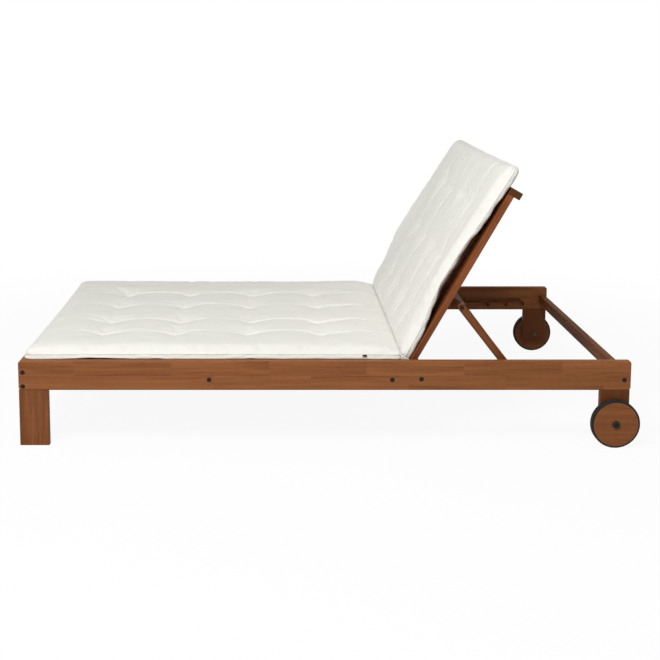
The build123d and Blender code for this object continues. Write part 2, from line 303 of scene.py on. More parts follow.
def metal(name, colour, roughness):
    """Metal with faint turning marks and a little wear."""
    steel = Finish(bpy.data.materials.new(name))
    point = steel.place()
    along, across, high = steel.axes(point)
    scuff = steel.noise(point, 260.0, 4.0, 0.65)
    marks = steel.noise((along * 60.0, across * 2200.0, high * 60.0), detail=2.0)
    tinted = steel.mix(scuff.step(0.45, 0.8), colour, [0.6 * value + 0.012 for value in colour])
    return steel.surface(
        Base_Color=tinted,
        Metallic=0.35,
        Specular_IOR_Level=0.2,
        Roughness=roughness + (scuff - 0.5) * 0.25,
        Normal=steel.bump(marks, 0.00008, 0.4),
    )


def rubber(name, colour, origin):
    """Matt black rubber, slightly dusty on its tread."""
    tread = Finish(bpy.data.materials.new(name))
    point = tread.place(origin=origin)
    dust = tread.noise(point, 90.0, 4.0, 0.6)
    pits = tread.noise(point, 900.0, 2.0)
    _, sideways, _ = tread.axes(tread.facing())
    rim = 1.0 - sideways.size().step(0.3, 0.7)
    colour = tread.mix(dust.step(0.4, 0.85) * (0.12 + rim * 0.25), colour, (0.09, 0.08, 0.07))
    return tread.surface(
        Base_Color=colour,
        Roughness=0.72 + (dust - 0.5) * 0.2,
        Normal=tread.bump(pits, 0.0002, 0.5),
        Specular_IOR_Level=0.15,
    )


# Modelling, as by hand


def deselect_all():
    if bpy.context.object and bpy.context.object.mode != "OBJECT":
        bpy.ops.object.mode_set(mode="OBJECT")
    bpy.ops.object.select_all(action="DESELECT")


def only(piece):
    """Select one object and nothing else, and make it the active one."""
    deselect_all()
    piece.select_set(True)
    bpy.context.view_layer.objects.active = piece


def coordinates(piece):
    points = np.empty(len(piece.data.vertices) * 3)
    piece.data.vertices.foreach_get("co", points)
    return points.reshape(-1, 3)


def move_points(piece, points):
    piece.data.vertices.foreach_set("co", points.ravel())
    piece.data.update()


def pick(piece, faces=None, edges=None, vertices=None):
    """Select some faces, edges or vertices of a piece, by place, and go into edit mode."""
    only(piece)
    mesh = piece.data
    for elements in (mesh.polygons, mesh.edges, mesh.vertices):
        elements.foreach_set("select", np.zeros(len(elements), dtype=bool))
    kinds = (("FACE", faces, mesh.polygons), ("EDGE", edges, mesh.edges), ("VERT", vertices, mesh.vertices))
    for kind, test, elements in kinds:
        if test is not None:
            bpy.context.tool_settings.mesh_select_mode = (kind == "VERT", kind == "EDGE", kind == "FACE")
            for element in elements:
                element.select = bool(test(element))
    bpy.ops.object.mode_set(mode="EDIT")


def stop_editing():
    bpy.ops.object.mode_set(mode="OBJECT")


def edge_ends(piece, edge):
    return [piece.data.vertices[index].co for index in edge.vertices]


def apply_place():
    """Move the selected piece's place, turn and size into its mesh."""
    bpy.ops.object.transform_apply(location=True, rotation=True, scale=True)


def extrude(height):
    """Extrude the selected faces upward, or downward."""
    bpy.ops.mesh.extrude_region_move(TRANSFORM_OT_translate={"value": (0, 0, height)})


def joined(parts, name):
    """One piece made of several."""
    only(parts[0])
    for part in parts[1:]:
        part.select_set(True)
    bpy.ops.object.join()
    piece = bpy.context.object
    piece.name = name
    return piece


def finish_mesh(piece, angle=30.0):
    """Apply the piece's place, close its doubles, turn its faces outward and smooth it."""
    only(piece)
    apply_place()
    bpy.ops.object.mode_set(mode="EDIT")
    bpy.ops.mesh.select_all(action="SELECT")
    bpy.ops.mesh.remove_doubles(threshold=0.00001)
    bpy.ops.mesh.normals_make_consistent(inside=False)
    stop_editing()
    bpy.ops.object.shade_smooth_by_angle(angle=math.radians(angle))


def placed_copy(piece, name, matrix):
    """A copy with its own mesh, put in its place."""
    copy = bpy.data.objects.new(name, piece.data.copy())
    copy.data.transform(matrix)
    bpy.context.scene.collection.objects.link(copy)
    return copy


def socket_bolt(name, head_radius, head_height, shank_radius, shank_length, key_radius, material):
    """A bolt that points down, with a bevelled head, a hexagonal socket and a plain shank."""
    deselect_all()
    bpy.ops.mesh.primitive_cylinder_add(
        vertices=36, radius=head_radius, depth=head_height, location=(0, 0, head_height / 2)
    )
    bolt = bpy.context.object
    bolt.name = name
    apply_place()
    high = head_height - 0.0001
    edge_bevel = head_height * 0.3
    tip_bevel = shank_radius * 0.3
    key_depth = head_height * 0.62
    pick(bolt, edges=lambda edge: all(end.z > high for end in edge_ends(bolt, edge)))
    bpy.ops.mesh.bevel(offset=edge_bevel, segments=3, affect="EDGES")
    stop_editing()
    pick(bolt, faces=lambda face: face.normal.z > 0.99)
    bpy.ops.mesh.inset(thickness=head_radius - edge_bevel - key_radius)
    stop_editing()
    points = coordinates(bolt)
    radius = np.hypot(points[:, 0], points[:, 1])
    rim = (points[:, 2] > high) & (radius < key_radius * 1.05)
    turn = np.arctan2(points[:, 1], points[:, 0])
    sixth = math.pi / 3
    flat = np.cos(sixth / 2) / np.cos(np.mod(turn, sixth) - sixth / 2)
    scale = np.where(rim, key_radius * flat / np.maximum(radius, 1e-6), 1.0)
    points[:, :2] *= scale[:, None]
    move_points(bolt, points)
    centre = min(
        (face for face in bolt.data.polygons if face.normal.z > 0.99),
        key=lambda face: face.center.xy.length,
    ).index
    pick(bolt, faces=lambda face: face.index == centre)
    extrude(-key_depth)
    stop_editing()
    pick(bolt, faces=lambda face: face.normal.z < -0.99 and face.center.z < 0.0001)
    bpy.ops.mesh.inset(thickness=head_radius - shank_radius)
    extrude(-shank_length)
    bpy.ops.mesh.inset(thickness=tip_bevel)
    bpy.ops.transform.translate(value=(0, 0, -tip_bevel))
    stop_editing()
    finish_mesh(bolt)
    bolt.data.materials.append(material)
    return bolt


def bolt_copy(model, name, place, side):
    """A copy of a bolt that points down, turned to point at the lounger's middle from one side."""
    turn = Matrix.Rotation(math.radians(90.0 * -side), 4, "X")
    return placed_copy(model, name, Matrix.Translation(place) @ turn)


# Settings


def colour_setting(name, description, default):
    """A colour that the panel offers."""
    return FloatVectorProperty(
        name=name, description=description, subtype="COLOR", default=default, min=0.0, max=1.0
    )


def number_setting(name, description, default, low, high, **kind):
    """A number that the panel offers, with its unit or subtype where it has one."""
    return FloatProperty(name=name, description=description, default=default, min=low, max=high, **kind)


def length_setting(name, description, default, low, high):
    """A length that the panel offers, in metres."""
    return number_setting(name, description, default, low, high, unit="LENGTH")


class LoungerWoodFinish(bpy.types.PropertyGroup):
    light: colour_setting("Light wood", "Colour of the palest streaks of the wood", (0.315, 0.117, 0.040))
    dark: colour_setting("Dark wood", "Colour of the darkest streaks of the wood", (0.125, 0.038, 0.010))
    tint: colour_setting("Block tint", "Tint of the glued blocks that are redder", (1.0, 0.80, 0.78))
    pore: colour_setting("Pores", "Colour of the open pores, where oil has settled", (0.055, 0.020, 0.008))
    end_grain: colour_setting(
        "End grain", "Colour of the sawn ends, which take up more oil", (0.085, 0.036, 0.018)
    )
    block: length_setting("Block length", "Length of the blocks in rails and slats", 0.315, 0.05, 2.0)
    strip: length_setting("Strip height", "Height of the strips in the side rails", 0.048, 0.01, 0.2)
    oil: number_setting("Oil", "How strongly the surface reflects", 0.14, 0.0, 1.0, subtype="FACTOR")


class LoungerCanvasFinish(bpy.types.PropertyGroup):
    colour: colour_setting("Canvas", "Colour of the cushions' canvas", (0.88, 0.87, 0.81))
    shade: colour_setting("Thread shade", "Colour between the canvas threads", (0.81, 0.795, 0.73))
    thread: length_setting("Thread pitch", "Distance between two threads", 0.0011, 0.0002, 0.01)


class LoungerHardwareFinish(bpy.types.PropertyGroup):
    steel: colour_setting("Blackened steel", "Colour of the screws and bolts", (0.020, 0.016, 0.012))
    zinc: colour_setting("Zinc", "Colour of the nuts and washers, dulled by weather", (0.11, 0.11, 0.11))
    tyre: colour_setting("Rubber", "Colour of the tyres", (0.014, 0.013, 0.012))


class LoungerCushionShape(bpy.types.PropertyGroup):
    step_along: length_setting(
        "Step along", "Distance between a cushion's points along it, before smoothing", 0.0115, 0.005, 0.03
    )
    step_across: length_setting(
        "Step across", "Distance between a cushion's points across it, before smoothing", 0.0080, 0.005, 0.03
    )
    pressure: number_setting("Filling pressure", "How hard the filling swells the canvas", 4.0, 0.0, 20.0)
    swell: length_setting(
        "Largest swell", "How far the filling may push any point of the canvas", 0.011, 0.0, 0.05
    )
    tuft_depth: length_setting("Tuft depth", "How far a tuft draws a cushion's top in", 0.010, 0.0, 0.03)
    crease_depth: length_setting("Crease depth", "Depth of the creases between tufts", 0.0042, 0.0, 0.02)
    piping: length_setting("Piping", "Radius of the rolled seam round the side", 0.0017, 0.0005, 0.01)


class LoungerStudio(bpy.types.PropertyGroup):
    key: number_setting(
        "Key light", "Power of the large soft light, high in front", 305.0, 0.0, 2000.0, unit="POWER"
    )
    sky: number_setting("Surrounding light", "Strength of the light from all round", 0.22, 0.0, 2.0)
    floor: colour_setting("Floor", "Colour of the floor and the backdrop", (0.9, 0.9, 0.9))


# Wood


class LOUNGER_OT_finish_wood(bpy.types.Operator):
    """Give the rails, legs, slats, battens and struts their oiled hardwood"""

    bl_idname = "lounger.finish_wood"
    bl_label = "Finish the Wood"

    def execute(self, context):
        finish = context.scene.lounger_wood
        block = finish.block
        # The slats' boards are counted from a little beside the first one.
        margin = 0.006
        seat_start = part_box("seat_slat_01")[0] - Vector((0.0, margin, 0.0))
        back_start = Vector((pivot.x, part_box("back_slat_01")[0].y - margin, pivot.z))
        strut_low, strut_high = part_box("prop_strut_near")
        slope = math.atan2(strut_high.z - strut_low.z, strut_high.x - strut_low.x)
        slat = (block, slat_pitch, 0.0)
        # Wider than the piece, so that no glue joint runs along it.
        wide = 0.3
        plank = (0.0, wide, 0.0)
        # Each row: finish, parts of its nodes' names, then turn, origin, glue, depth, blush, oil, contrast.
        woods = (
            ("rail_wood", "side_rail", zero, rail_low, (block, wide, finish.strip), -0.14, 0.0, 1.0, 0.8),
            ("seat_slat_wood", "seat_slat", zero, seat_start, slat, 0.0, 0.0, 1.0, 1.0),
            ("back_slat_wood", "back_slat", leaning, back_start, slat, 0.04, 0.7, 1.0, 1.0),
            ("cross_rail_wood", "_cross_rail", along_y, zero, (block, wide, 0.0), 0.16, 0.0, 0.3, 1.0),
            ("front_leg_wood", "front_leg", upright, zero, plank, 0.10, 0.15, 1.0, 1.0),
            # The rear legs are given a darker tone than the front legs.
            ("rear_leg_wood", "rear_leg", upright, zero, plank, 0.45, 0.0, 1.0, 1.0),
            ("batten_wood", "back_top_rail _batten", along_y, zero, (0.4, 0.0, 0.0), 0.28, 0.0, 0.15, 1.0),
            ("strut_wood", "prop_strut", (0.0, -slope, 0.0), zero, plank, 0.34, 0.3, 1.0, 1.0),
        )
        for name, parts, *look in woods:
            wood = oiled_wood(name, finish, *look)
            for node in nodes:
                if any(part in node for part in parts.split()):
                    dress(node, wood)
        return {"FINISHED"}


class LOUNGER_OT_finish_wheels(bpy.types.Operator):
    """Give the wheels their wooden discs and rubber tyres, and the washers and nuts their metal"""

    bl_idname = "lounger.finish_wheels"
    bl_label = "Finish the Wheels"

    def execute(self, context):
        hardware = context.scene.lounger_hardware
        low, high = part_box("wheel_disc_near")
        centre = (low + high) / 2
        disc = oiled_wood(
            "wheel_wood",
            context.scene.lounger_wood,
            origin=centre + Vector((0.3, 0.5, 0.024)),
            glue=(0.0, 0.25, 0.060),
            depth=0.03,
            blush=0.12,
            contrast=0.5,
        )
        for _, side in sides:
            dress("wheel_disc_" + side, disc)
            dress("tyre_" + side, rubber("tyre_rubber_" + side, hardware.tyre, centre))
        zinc = metal("zinc_plate", hardware.zinc, 0.42)
        for name in ("axle_washers", "axle_nuts", "hinge_washers"):
            dress(name, zinc)
        dress("prop_rod", metal("blackened_steel_rod", hardware.steel, 0.4))
        return {"FINISHED"}


# Screws and bolts


class LOUNGER_OT_add_rail_screws(bpy.types.Operator):
    """Drive the socket screws that hold the cross rails into the side rails' recesses"""

    bl_idname = "lounger.add_rail_screws"
    bl_label = "Add the Rail Screws"

    def execute(self, context):
        steel = metal("blackened_steel_screws", context.scene.lounger_hardware.steel, 0.38)
        # Head's radius and height, shank's radius and length, socket's radius.
        model = socket_bolt("rail_screw", 0.0070, 0.0030, 0.0030, 0.045, 0.0030, steel)
        heights = {"foot": (0.242, 0.196), "middle": (0.218,), "seat": (0.218,), "head": (0.217,)}
        for rail in heights:
            low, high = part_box(rail + "_cross_rail")
            for number, height in enumerate(heights[rail], 1):
                for side, name in sides:
                    seat = Vector(((low.x + high.x) / 2, side * (outer_face - recess_depth), height))
                    screw = bolt_copy(model, f"{rail}_rail_screw_{name}_{number}", seat, side)
                    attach(screw, "frame")
        bpy.data.objects.remove(model)
        return {"FINISHED"}


class LOUNGER_OT_add_bolts(bpy.types.Operator):
    """Add the pivot bolts of the backrest and the struts, and the wheels' bolts"""

    bl_idname = "lounger.add_bolts"
    bl_label = "Add the Bolts"

    def execute(self, context):
        steel = metal("blackened_steel_bolts", context.scene.lounger_hardware.steel, 0.38)
        # Each row: CAD node, body, head's radius and height, shank's radius, socket's radius.
        rows = (
            ("hinge_bolts", "frame", 0.0070, 0.0030, 0.0040, 0.0030),
            ("prop_bolts", "backrest", 0.0070, 0.0030, 0.0040, 0.0030),
            ("axle_bolts", "frame", 0.0120, 0.0050, 0.0050, 0.0045),
        )
        for node, body, radius, height, shank, key in rows:
            low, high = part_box(node)
            points = coordinates(nodes[node])
            tip = points[points[:, 1] > 0][:, 1].min()
            seat = high.y - height
            model = socket_bolt(node + "_model", radius, height, shank, seat - tip, key, steel)
            for side, name in sides:
                place = Vector(((low.x + high.x) / 2, side * seat, (low.z + high.z) / 2))
                bolt = bolt_copy(model, f"{node[:-1]}_{name}", place, side)
                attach(bolt, body)
                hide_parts(node)
            bpy.data.objects.remove(model)
        return {"FINISHED"}


# Cushions


def rounded_outline(across_u, across_v, half_u, half_v, corner):
    """Points of a rectangle, with those in its corner squares drawn in to a round corner."""
    u = across_u * half_u
    v = across_v * half_v
    beyond_u = np.abs(u) - (half_u - corner)
    beyond_v = np.abs(v) - (half_v - corner)
    inside = (beyond_u > 0) & (beyond_v > 0)
    reach = np.hypot(beyond_u, beyond_v)
    drawn = np.where(inside, np.maximum(beyond_u, beyond_v) / np.maximum(reach, 1e-9), 1.0)
    u = np.where(inside, np.sign(u) * (half_u - corner + beyond_u * drawn), u)
    v = np.where(inside, np.sign(v) * (half_v - corner + beyond_v * drawn), v)
    return u, v


def smooth(value):
    """A smooth step from 0 at 0 to 1 at 1."""
    value = np.clip(value, 0.0, 1.0)
    return value * value * (3.0 - 2.0 * value)


def bell(distance, width):
    """1 at no distance, and softly less to both sides."""
    return np.exp(-((distance / width) ** 2))


def crease(u, v, start, end, bow):
    """How deep a crease is at each point: a narrow valley with a soft ridge beyond it."""
    along_u, along_v = end[0] - start[0], end[1] - start[1]
    length = math.hypot(along_u, along_v)
    share = ((u - start[0]) * along_u + (v - start[1]) * along_v) / length**2
    aside = ((v - start[1]) * along_u - (u - start[0]) * along_v) / length
    between = smooth(np.minimum(share, 1.0 - share) / 0.18)
    stray = 0.004 * np.sin(u * 31.0 + start[1] * 40.0) + 0.003 * np.sin(u * 67.0 + start[0] * 50.0)
    off = aside - (bow + stray) * between
    valley = bell(off, 0.0048 + 0.0035 * between)
    ridge_place, ridge_width, ridge_height = 0.015, 0.009, 0.45
    ridge = bell(off - ridge_place, ridge_width)
    inside = smooth((share + 0.06) / 0.12) * smooth((1.06 - share) / 0.12)
    return inside * (1.0 - 0.35 * between) * (valley - ridge_height * ridge)


def wander(u, v, scale_u, scale_v, seed):
    """Gentle noise between -1 and 1 over a cushion, the same in every run."""
    places = np.column_stack([u * scale_u, v * scale_v, np.full(len(u), seed)])
    return np.array([noise.noise(place) for place in places.tolist()])


def lying_box(node):
    """A node's lowest and highest corners, with the backrest laid flat and its hinge at the origin."""
    lying = (coordinates(nodes[node]) - np.array(pivot)) @ np.array(lean)[:3, :3]
    return Vector(lying.min(axis=0)), Vector(lying.max(axis=0))


class Pad:
    """One cushion, modelled lying flat with its middle at the origin and its underside at 0."""

    # Rows of points up a wall, as degrees round its rolled edge, with the seam at 0.
    wall_turns = (-78.0, -50.0, -25.0, 0.0, 26.0, 52.0, 76.0)
    # The seam's height as a share of the cushion's, and the flat top's as a share of the rest.
    seam_height, top_height = 0.47, 0.93
    # How far the middle of a side and of the free end are drawn in.
    side_waist, end_waist = 0.004, 0.003
    # How far round a tuft its pull reaches, how steeply it ends, and how far it lifts the underside.
    tuft_reach, tuft_steepness, tuft_lift = 0.026, 1.3, 0.004
    # How far a row's creases run on past its first and its last tuft.
    first_run, last_run = 0.10, 0.17
    # Which end is at the crease between the two cushions: 1 for the one towards X, -1 for the other.
    crease_side = 1.0
    # How many pictures the canvas takes to come to rest.
    pictures = 20

    def __init__(self, name, low, high, shape):
        thickness = high.z - low.z
        self.name = name
        self.half_u = (high.x - low.x) / 2
        self.half_v = (high.y - low.y) / 2
        self.shape = shape
        self.seam = thickness * self.seam_height
        self.rise = (thickness - self.seam) * self.top_height

    def start_mesh(self):
        """A grid that is extruded to a box, with rows of points up its walls."""
        deselect_all()
        bpy.ops.mesh.primitive_grid_add(
            x_subdivisions=round(2 * self.half_u / self.shape.step_along),
            y_subdivisions=round(2 * self.half_v / self.shape.step_across),
            size=2.0,
            location=(0, 0, 0),
        )
        self.piece = bpy.context.object
        self.piece.name = self.name
        pick(self.piece, faces=lambda face: True)
        extrude(1)
        stop_editing()
        level = coordinates(self.piece)[:, 2]
        pick(self.piece, edges=lambda edge: abs(np.subtract(*level[list(edge.vertices)])) > 0.5)
        bpy.ops.mesh.subdivide(number_cuts=len(self.wall_turns) - 2)
        bpy.ops.mesh.select_all(action="SELECT")
        bpy.ops.mesh.normals_make_consistent(inside=False)
        stop_editing()
        points = coordinates(self.piece)
        self.grid_u, self.grid_v, self.level = points.T.copy()
        height = self.piece.data.attributes.new("height_up_wall", "FLOAT", "POINT")
        height.data.foreach_set("value", self.level)

    def near_tuft(self, u, v):
        """Distance to the nearest tuft, and which one it is."""
        distances = np.array([np.hypot(u - tuft_u, v - tuft_v) for tuft_u, tuft_v in self.tufts])
        return distances.min(axis=0), distances.argmin(axis=0)

    def shape_form(self):
        """A rolled edge, a crowned top, tufts drawn in, and sides that lift off what is under them."""
        turns = np.radians(np.array(self.wall_turns))
        step = np.clip(np.rint(self.level * (len(turns) - 1)).astype(int), 0, len(turns) - 1)
        turn = turns[step]
        tucked = 1.0 - np.cos(turn)
        creased = self.grid_u * self.crease_side > 0.0
        roll = self.roll * np.where(turn < 0.0, self.tuck, 1.0)
        half_u = self.half_u - np.where(creased, self.crease_roll * (turn > 0.0), roll) * tucked
        half_u += np.where(creased, self.crease_reach_out, self.end_overhang)
        half_v = self.half_v + self.side_overhang - roll * tucked
        corner = np.where(creased, self.crease_corner, self.corner)
        corner = np.maximum(corner - roll * tucked, 0.003)
        u, v = rounded_outline(self.grid_u, self.grid_v, half_u, half_v, corner)
        v = v * (1.0 - self.side_waist / self.half_v * (1.0 - (u / self.half_u) ** 2))
        waist = self.end_waist / self.half_u * (1.0 - (v / self.half_v) ** 2)
        u = u * (1.0 - np.where(creased, 0.0, waist))
        from_side = np.maximum(self.half_v + self.side_overhang - np.abs(v), 0.0)
        from_crease = np.maximum(self.half_u - u * self.crease_side, 0.0)
        from_end = np.minimum(from_crease, np.maximum(self.half_u + u * self.crease_side, 0.0))
        from_edge = np.minimum(from_side, from_end)
        full = np.sin(turns[-1]) + (1 - np.sin(turns[-1])) * smooth((from_edge - 0.012) / 0.03)
        crown = self.crown * smooth(from_edge / 0.45)
        top = self.seam + self.rise * full + crown
        curl, underside = self.edge_lift(u, from_side, np.sign(v))
        bottom = np.clip(underside, 0.0, self.seam * 0.8)
        upper = self.seam + self.rise * np.sin(turn)
        lower = self.seam + (self.seam - bottom) * np.sin(turn)
        z = np.where(turn > 0.0, upper, lower)
        inner = (np.abs(self.grid_u) < 0.999) & (np.abs(self.grid_v) < 0.999)
        self.on_top = inner & (self.level > 0.5)
        self.below = inner & (self.level < 0.5)
        z = np.where(self.on_top, top, z)
        z = np.where(self.below, bottom, z)
        sink = self.crease_drop * (1.0 - smooth(from_crease / self.crease_reach))
        z = z - sink * np.clip((z - self.seam) / self.rise, 0.0, 1.0)
        distance, _ = self.near_tuft(u, v)
        pull = np.exp(-((distance / self.tuft_reach) ** self.tuft_steepness))
        z = np.where(self.on_top, z - self.tuft_depth * pull, z)
        z = np.where(self.below, z + self.tuft_lift * pull, z)
        move_points(self.piece, np.column_stack([u, v, z + curl]))

    def fill(self):
        """Swell the canvas, held at its tufts, its seam, its lowest rim and its end at the crease."""
        start = coordinates(self.piece)
        distance, _ = self.near_tuft(start[:, 0], start[:, 1])
        held = self.piece.vertex_groups.new(name="stitched")
        seam = np.abs(self.level - 0.5) < 0.01
        tufted = (distance < 0.008) & (self.on_top | self.below)
        rim = (np.maximum(np.abs(self.grid_u), np.abs(self.grid_v)) > 0.999) & (self.level < 0.01)
        crease_end = self.grid_u * self.crease_side > 0.999
        held.add([int(i) for i in np.flatnonzero(seam | rim | tufted | crease_end)], 1.0, "REPLACE")
        only(self.piece)
        bpy.ops.object.modifier_add(type="CLOTH")
        cloth = self.piece.modifiers[-1]
        cloth_settings = {
            "quality": 4,
            "mass": 0.25,
            "tension_stiffness": 12.0,
            "compression_stiffness": 12.0,
            "shear_stiffness": 4.0,
            "bending_stiffness": 0.4,
            "use_pressure": True,
            "uniform_pressure_force": self.shape.pressure,
            "shrink_min": -0.012,
            "vertex_group_mass": "stitched",
        }
        for name, value in cloth_settings.items():
            setattr(cloth.settings, name, value)
        cloth.settings.effector_weights.gravity = 0.0
        cloth.collision_settings.use_collision = False
        for picture in range(1, self.pictures + 1):
            bpy.context.scene.frame_set(picture)
        bpy.ops.object.modifier_apply(modifier=cloth.name)
        bpy.context.scene.frame_set(1)
        moved = coordinates(self.piece) - start
        far = np.linalg.norm(moved, axis=1)
        limit = self.shape.swell
        kept = np.where(far > 1e-9, limit * np.tanh(far / limit) / np.maximum(far, 1e-9), 1.0)
        moved = moved * kept[:, None]
        moved[:, 2] = np.where(self.below, np.clip(moved[:, 2], -0.001, 0.002), moved[:, 2])
        points = start + moved
        points[:, :2] = np.clip(points[:, :2], start[:, :2].min(axis=0), start[:, :2].max(axis=0))
        points[:, 2] = np.maximum(points[:, 2], 0.0)
        move_points(self.piece, points)
        self.piece.vertex_groups.clear()

    def subdivide(self):
        """Smooth the form once, and find again how high up its wall each point is."""
        only(self.piece)
        bpy.ops.object.modifier_add(type="SUBSURF")
        smoothing = self.piece.modifiers[-1]
        smoothing.levels = 1
        smoothing.render_levels = 1
        bpy.ops.object.modifier_apply(modifier=smoothing.name)
        heights = self.piece.data.attributes["height_up_wall"]
        self.level = np.empty(len(heights.data))
        heights.data.foreach_get("value", self.level)
        self.piece.data.attributes.remove(heights)

    def sculpt(self):
        """Creases from tuft to tuft, puckers round the tufts, gathers along the seam and soft lumps."""
        points = coordinates(self.piece)
        u, v, z = points.T.copy()
        top = smooth((self.level - 0.84) / 0.16)
        wall = 1.0 - smooth(np.abs(self.level - 0.5) / 0.42)
        sink = np.zeros(len(u))
        ends = [self.stations[0] - self.first_run, *self.stations, self.stations[-1] + self.last_run]
        for row, strengths in zip(tuft_rows, self.strengths):
            for number, strength in enumerate(strengths):
                start, end = (ends[number], row), (ends[number + 1], row)
                sink += crease(u, v, start, end, 0.007 + 0.005 * strength) * strength
        for start_u, start_v, end_u, end_v, strength in self.folds:
            sink += crease(u, v, (start_u, start_v), (end_u, end_v), 0.006) * strength
        sink *= self.shape.crease_depth * self.creasing
        distance, nearest = self.near_tuft(u, v)
        tuft_u, tuft_v = np.array(self.tufts)[nearest].T
        turn = np.arctan2(v - tuft_v, u - tuft_u)
        gather = np.cos(turn * 7.0 + nearest * 1.3) * bell(distance - 0.026, 0.016)
        lumps = 0.0013 * wander(u, v, 14.0, 14.0, 8.3) + 0.0018 * wander(u, v, 5.0, 11.0, 1.9)
        wrinkle = 1.0 - np.abs(wander(u + 0.35 * v, v, 4.0, 19.0, 4.4)) * 2.0
        lumps += self.wrinkling * np.clip(wrinkle, 0.0, 1.0) ** 3
        lumps *= smooth((self.half_v - np.abs(v)) / 0.07)
        z += top * (lumps - sink - 0.0006 * gather)
        outward = np.where(np.abs(v) > self.half_v - 0.03, np.sign(v), 0.0)
        onward = np.where(-self.crease_side * u > self.half_u - 0.03, np.sign(u), 0.0)
        low = smooth((0.55 - self.level) / 0.3)
        puckers = wander(u + v, self.level, 62.0, 1.6, 5.7) + 0.4 * wander(u + v, self.level, 90.0, 2.0, 3.3)
        ripple = puckers * (0.35 + 0.9 * low) + 0.6 * wander(u, v, 19.0, 19.0, 2.2)
        ripple *= 1.0 - 0.75 * bell(self.level - 0.5, 0.06)
        points[:, 1] = v + outward * wall * (ripple - 1.0) * self.gathering
        points[:, 0] = u + onward * wall * (ripple * 0.3 - 1.0) * self.gathering
        z += wall * low * wander(u, v, 33.0, 33.0, 7.1) * self.gathering * 1.2
        points[:, 2] = np.maximum(z, 0.0)
        move_points(self.piece, points)

    def seam_loop(self):
        """The seam round the side, with its rolled piping, as a piece of its own."""
        pick(self.piece, vertices=lambda vertex: abs(self.level[vertex.index] - 0.5) < 0.01)
        bpy.ops.mesh.duplicate()
        bpy.ops.mesh.separate(type="SELECTED")
        stop_editing()
        loop = next(piece for piece in bpy.context.selected_objects if piece != self.piece)
        only(loop)
        bpy.ops.object.convert(target="CURVE")
        loop.data.bevel_depth = self.shape.piping
        loop.data.bevel_resolution = 1
        bpy.ops.object.convert(target="MESH")
        loop.name = self.name + "_piping"
        return loop

    def stitches(self):
        """A little crossed thread at the bottom of every tuft."""
        points = coordinates(self.piece)
        deselect_all()
        parts = []
        for quarter in (0.0, 90.0):
            bpy.ops.mesh.primitive_torus_add(
                major_segments=16,
                minor_segments=6,
                major_radius=0.0045,
                minor_radius=0.0010,
                rotation=(math.radians(90.0), 0.0, math.radians(quarter)),
            )
            parts.append(bpy.context.object)
        knot = joined(parts, self.name + "_knot")
        apply_place()
        copies = []
        tops = np.flatnonzero(self.level > 0.95)
        for tuft_u, tuft_v in self.tufts:
            near = tops[np.argmin(np.hypot(points[tops, 0] - tuft_u, points[tops, 1] - tuft_v))]
            place = Matrix.Translation(Vector(points[near]) + Vector((0, 0, -0.0030)))
            copies.append(placed_copy(knot, knot.name, place))
        bpy.data.objects.remove(knot)
        return joined(copies, self.name + "_tufts")

    def build(self, matrix, body, node, material):
        """Make the cushion, put it in its place and hang it on its body."""
        places = [(station, row) for station in self.stations for row in tuft_rows]
        self.tufts = [
            (station + 0.005 * math.sin(number * 2.9), row + 0.004 * math.sin(number * 1.7))
            for number, (station, row) in enumerate(places)
        ]
        self.start_mesh()
        self.shape_form()
        self.fill()
        self.subdivide()
        self.sculpt()
        for piece in (self.seam_loop(), self.stitches(), self.piece):
            piece.data.transform(matrix)
            piece.data.materials.clear()
            piece.data.materials.append(material)
            only(piece)
            bpy.ops.object.shade_smooth()
            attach(piece, body)
        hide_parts(node)


